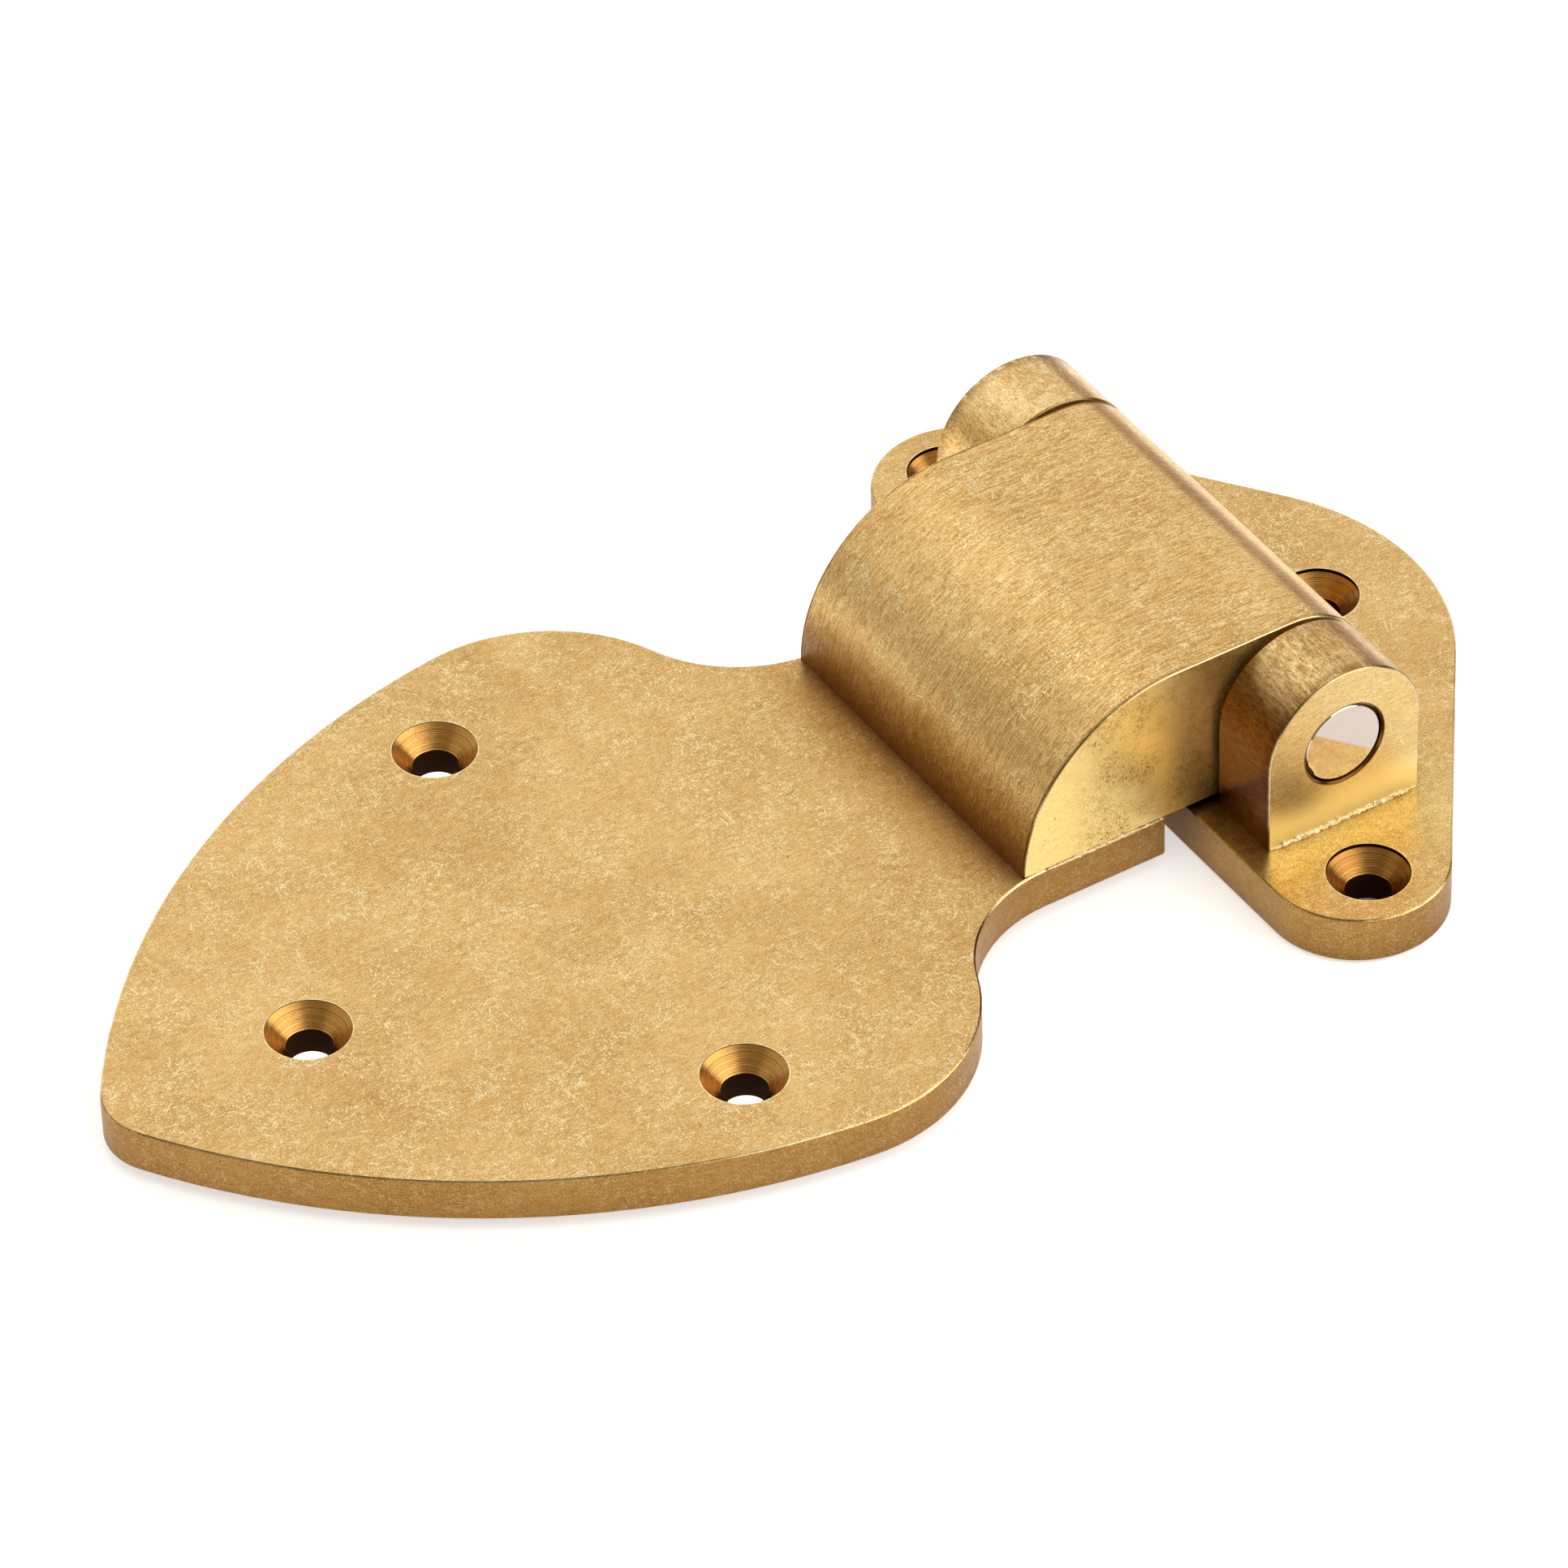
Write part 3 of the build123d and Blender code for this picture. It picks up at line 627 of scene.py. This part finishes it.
def steel(name, colour, rough):
    """Polished steel with a faint smear."""
    s = Shader(name)
    smear = s.noise(s.place(), scale=0.6, detail=3.0)
    smeared = tuple(channel * 0.92 for channel in colour)
    s.surface({
        "Base Color": s.colour(smear, colour, smeared),
        "Roughness": s.plus(rough * 0.5, s.times(smear, rough)),
    })
    return s


def machined(name, light, dark, per_mm, rough):
    """Turned or ground metal: fine rings across one direction, with a dull film."""
    s = Shader(name)
    rings = s.noise(s.stretch(s.place(), *per_mm), scale=1.0, detail=3.0, rough=0.7)
    film = s.noise(s.place(), scale=0.9, detail=4.0, rough=0.6, twist=0.5)
    shade = s.plus(s.times(s.ramp(rings, 0.3, 0.7), 0.5), s.times(s.ramp(film, 0.35, 0.65), 0.5))
    s.surface({
        "Base Color": s.colour(shade, dark, light),
        "Roughness": s.plus(rough, s.times(film, 0.2)),
        "Normal": s.bump(s.plus(rings, s.times(film, 0.3)), BUMP_DEPTH * MM),
    })
    return s


def solder():
    """Pale rough solder."""
    s = Shader("solder")
    lumps = s.noise(s.place(), scale=2.2, detail=3.0, rough=0.6)
    grains = s.noise(s.place(), scale=7.0, rough=0.6)
    colour = s.colour(s.ramp(lumps, 0.35, 0.6), SOLDER_DULL, SOLDER_BRIGHT)
    s.surface({
        "Base Color": s.colour(s.ramp(grains, 0.60, 0.72), colour, SOLDER_GRAIN),
        "Roughness": s.plus(0.22, s.times(grains, 0.25)),
        "Normal": s.bump(s.plus(lumps, s.times(grains, 0.5)), SOLDER_BUMP_DEPTH * MM),
    })
    return s


# ---------------------------------------------------------------- new pieces

def bead_section(place, size, out, up):
    """Points round one section of a bead; its corner is sunk a little into the faces."""
    points = [-BEAD_SINK * out - BEAD_SINK * up]
    for i in range(BEAD_ARC + 1):
        angle = math.pi / 2 * i / BEAD_ARC
        lump = 1.0 + BEAD_LUMP * noise.fractal(place + Vector((0, angle * 1.3, 0)), 1.0, 2.0, 3)
        reach = size * lump * (0.80 + 0.20 * abs(math.cos(2 * angle)))
        sink_out = -BEAD_SINK if i == BEAD_ARC else math.cos(angle) * reach
        sink_up = -BEAD_SINK if i == 0 else math.sin(angle) * reach
        points.append(sink_out * out + sink_up * up)
    return points


def bead(name, start, end, way, size, shader):
    """Rough run of solder in the corner between a level face and one that looks along Y by way."""
    start, end = Vector(start), Vector(end)
    out, up = Vector((0, way, 0)), Vector((0, 0, 1))
    steps = int((end - start).length / BEAD_STEP)
    rows = []
    for i in range(steps + 1):
        share = i / steps
        taper = min(1.0, BEAD_TAPER * min(share, 1.0 - share) + BEAD_TIP)
        base = start.lerp(end, share)
        rows.append([base + offset for offset in bead_section(base * BEAD_RATE, size * taper, out, up)])
    width = len(rows[0])
    faces = []
    for i in range(steps):
        for j in range(width):
            here, after = i * width, (i + 1) * width
            following = (j + 1) % width
            faces.append((here + j, here + following, after + following, after + j))
    faces.append(tuple(reversed(range(width))))
    faces.append(tuple(steps * width + j for j in range(width)))
    mesh = bpy.data.meshes.new(name)
    mesh.from_pydata([point * MM for row in rows for point in row], [], faces)
    mesh.shade_smooth()
    mesh.materials.append(shader.material)
    made = bpy.data.objects.new(name, mesh)
    bpy.context.scene.collection.objects.link(made)
    return made


def solder_beads():
    """Beads along the outer foot of each lug and the seam under the block's ends."""
    shader = solder()
    for side, way in (("near", -1), ("far", 1)):
        foot = LUG_OUTER * way
        left = (LUG_LOW.x + BEAD_INSET, foot, FRAME_TOP)
        right = (LUG_HIGH.x - BEAD_INSET, foot, FRAME_TOP)
        lug_bead = bead(f"solder_bead_{side}", left, right, way, BEAD_SIZE, shader)
        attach(lug_bead, "frame_side")
        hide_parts(f"solder_fillet_{side}")

        seam = BLOCK_OUTER * way
        front = (BLOCK_LOW.x + SEAM_INSET, seam, DOOR_TOP)
        back = (SEAM_END, seam, DOOR_TOP)
        block_seam = bead(f"block_seam_{side}", front, back, way, SEAM_SIZE, shader)
        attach(block_seam, "door_side")


# ---------------------------------------------------------------- materials on the CAD nodes

def put_on(node, shader):
    """Gives a CAD node its material and slot."""
    target = frame["nodes"][node]
    target.data.materials.clear()
    target.data.materials.append(shader.material)


def dress_main_pieces():
    """Leaves, block, lugs and pin."""
    frame_sinks = (FRAME_HOLES, FRAME_SINK_RADIUS, FRAME_SINK_SHADE)
    door_sinks = (DOOR_HOLES, DOOR_SINK_RADIUS, DOOR_SINK_SHADE)
    frame_brass = plate_brass("frame_leaf", *frame_sinks, pitted=0.4, painted_light_tint=frame_reflection_tint)
    door_brass = plate_brass("door_leaf", *door_sinks, pitted=0.6, painted_light_tint=door_shade_tint)
    put_on("frame_leaf", frame_brass)
    put_on("door_leaf", door_brass)
    put_on("knuckle_block", block_brass())
    near_brass = lug_brass("lug_brass_near", NEAR_SIDE_SHADE, scuffed=0.8, stain=0.5)
    far_brass = lug_brass("lug_brass_far", FAR_SIDE_SHADE, scuffed=2.2, stain=0.06)
    put_on("pin_lug_near", near_brass)
    put_on("pin_lug_far", far_brass)
    put_on("hinge_pin", steel("pin_steel", PIN_STEEL, rough=0.05))


def dress_small_pieces():
    """Bushes, washers, set screws and the screws in the leaves' backs."""
    bush = machined("bush_bronze", BUSH_LIGHT, BUSH_DARK, ALONG_PIN, rough=0.25)
    washer = machined("washer_bronze", WASHER_LIGHT, WASHER_DARK, THROUGH_WASHER, rough=0.22)
    screw = machined("screw_brass", SCREW_LIGHT, SCREW_DARK, UPRIGHT, rough=0.22)
    set_screw = machined("set_screw_steel", SET_SCREW_LIGHT, SET_SCREW_DARK, UPRIGHT, rough=0.30)
    for end in ("near", "far"):
        put_on(f"bush_{end}", bush)
        put_on(f"thrust_washer_{end}", washer)
        put_on(f"pin_set_screw_{end}", set_screw)
        for side in ("left", "right"):
            put_on(f"lug_screw_{end}_{side}", screw)
        for row in ("outer", "inner"):
            put_on(f"block_screw_{row}_{end}", screw)


# ---------------------------------------------------------------- stage, light and camera

def floor():
    """Pale paper that the hinge lies on; it glows, less under the frame leaf's holes (painted shade seen
    through them) and more under the door leaf's holes (painted light seen through them).
    """
    mesh = bpy.data.meshes.new("floor")
    half = FLOOR_SIZE / 2
    level = FRAME_BACK * MM - FLOOR_GAP
    corners = [(-half, -half, level), (half, -half, level), (half, half, level), (-half, half, level)]
    mesh.from_pydata(corners, [], [(0, 1, 2, 3)])
    made = bpy.data.objects.new("floor", mesh)
    bpy.context.scene.collection.objects.link(made)
    s = Shader("floor_paper")
    # Painted shade under the frame leaf's holes and painted light under the door leaf's holes.
    clear = s.ramp(hole_distance(s, FRAME_HOLES), FRAME_SINK_RADIUS - HOLE_FADE, FRAME_SINK_RADIUS)
    below = s.ramp(hole_distance(s, DOOR_HOLES), DOOR_SINK_RADIUS, DOOR_SINK_RADIUS - HOLE_FADE)
    s.surface({
        "Metallic": 0.0,
        "Base Color": FLOOR_COLOUR,
        "Roughness": FLOOR_ROUGHNESS,
        "Emission Color": (1.0, 1.0, 1.0),
        "Emission Strength": s.times(clear, s.plus(FLOOR_GLOW, s.times(below, HOLE_GLOW))),
    })
    mesh.materials.append(s.material)


def world():
    """Dim even surroundings."""
    made = bpy.data.worlds.new("studio")
    made.use_nodes = True
    made.node_tree.nodes["Background"].inputs[0].default_value = ROOM_COLOUR
    made.node_tree.nodes["Background"].inputs[1].default_value = ROOM_LEVEL
    bpy.context.scene.world = made


def softbox(name, azimuth, elevation, wide, high, level):
    """Rectangular softbox aimed at the hinge; angles in degrees, level as a mirror shows it."""
    az, el = math.radians(azimuth), math.radians(elevation)
    way = Vector((math.sin(az) * math.cos(el), math.cos(az) * math.cos(el), math.sin(el)))
    width, height = (2 * BOX_DISTANCE * math.tan(math.radians(angle / 2)) for angle in (wide, high))
    data = bpy.data.lights.new(name, "AREA")
    data.shape = "RECTANGLE"
    data.size = width
    data.size_y = height
    data.energy = level * math.pi * width * height
    light = bpy.data.objects.new(name, data)
    light.location = way * BOX_DISTANCE
    light.rotation_mode = "QUATERNION"
    light.rotation_quaternion = (-way).to_track_quat("-Z", "Y")
    bpy.context.scene.collection.objects.link(light)


def camera():
    """Camera at the photo's place and angle."""
    data = bpy.data.cameras.new("camera")
    data.lens = CAMERA_LENS
    data.sensor_width = CAMERA_SENSOR
    data.clip_start = CAMERA_NEAR
    data.clip_end = CAMERA_FAR
    made = bpy.data.objects.new("camera", data)
    bpy.context.scene.collection.objects.link(made)
    turn = Matrix.Rotation(math.radians(CAMERA_AZIMUTH), 4, "Z")
    tilt = Matrix.Rotation(math.radians(90 - CAMERA_ELEVATION), 4, "X")
    roll = Matrix.Rotation(math.radians(CAMERA_ROLL), 4, "Z")
    made.matrix_world = Matrix.Translation(CAMERA_PLACE) @ turn @ tilt @ roll
    bpy.context.scene.camera = made


solder_beads()
dress_main_pieces()
dress_small_pieces()
floor()
world()
softbox("back_softbox", azimuth=18.0, elevation=38.0, wide=100.0, high=60.0, level=0.62)
softbox("shoulder_softbox", azimuth=-8.0, elevation=52.0, wide=26.0, high=26.0, level=0.30)
softbox("left_softbox", azimuth=-62.0, elevation=24.0, wide=50.0, high=34.0, level=0.30)
softbox("front_softbox", azimuth=144.0, elevation=34.0, wide=84.0, high=26.0, level=2.1)
softbox("top_softbox", azimuth=150.0, elevation=80.0, wide=60.0, high=60.0, level=0.7)
camera()
bpy.context.scene.view_settings.view_transform = "Standard"
